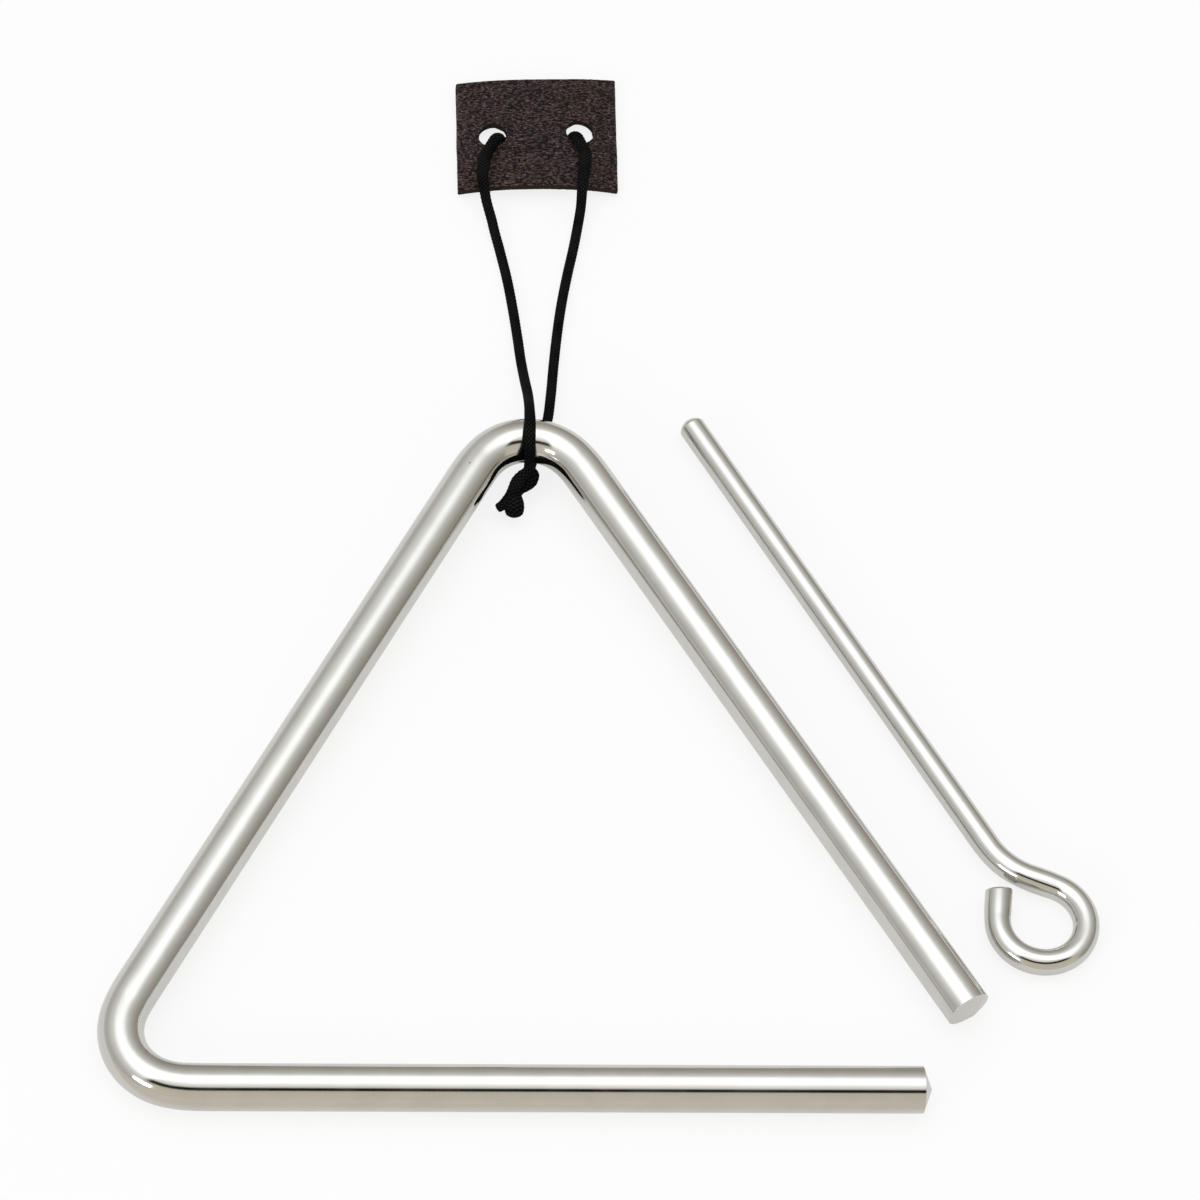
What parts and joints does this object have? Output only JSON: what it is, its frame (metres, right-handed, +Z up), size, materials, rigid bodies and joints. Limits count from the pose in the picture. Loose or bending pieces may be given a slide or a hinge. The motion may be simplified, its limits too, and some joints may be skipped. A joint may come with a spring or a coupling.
{
  "type": "triangle instrument",
  "caption": "Open-cornered triangle bent from round plated steel rod, with a ring-handled steel beater and a cord holder gathered in a pierced leather tab.",
  "frame": {"origin": "on the table, in the middle of the box round the triangle, the beater and the leather tab", "axes": "+X along the base leg towards its free end, +Y from the base leg up past the apex to the holder, +Z up from the table"},
  "size_m": [0.1818, 0.2284, 0.0137],
  "materials": {
    "triangle_plating": "nickel plate, softly polished",
    "beater_plating": "nickel plate, softly polished",
    "leather": "pebble-grained dark leather",
    "cord": "fine black braid"
  },
  "bodies": {
    "triangle": {"triangle_rod": "triangle_plating"},
    "holder_cord": {"hanging_cord": "cord", "cord_knot": "cord"},
    "leather": {"leather_tab": "leather"},
    "beater": {"beater": "beater_plating"}
  },
  "joints": [
    {"name": "holder_swing", "type": "hinge", "parent": "triangle", "child": "holder_cord", "pos_m": [-0.01018, 0.02566, 0.0068], "axis": [1, 0, 0], "continuous": true},
    {"name": "leather_flap", "type": "hinge", "parent": "holder_cord", "child": "leather", "pos_m": [-0.00582, 0.09956, 0.001], "axis": [0.9976, 0.0698, 0], "range_deg": [0, 40]},
    {"name": "beater_lift", "type": "slide", "parent": "triangle", "child": "beater", "axis": [0, 0, 1], "range_m": [0, 0.15]}
  ]
}
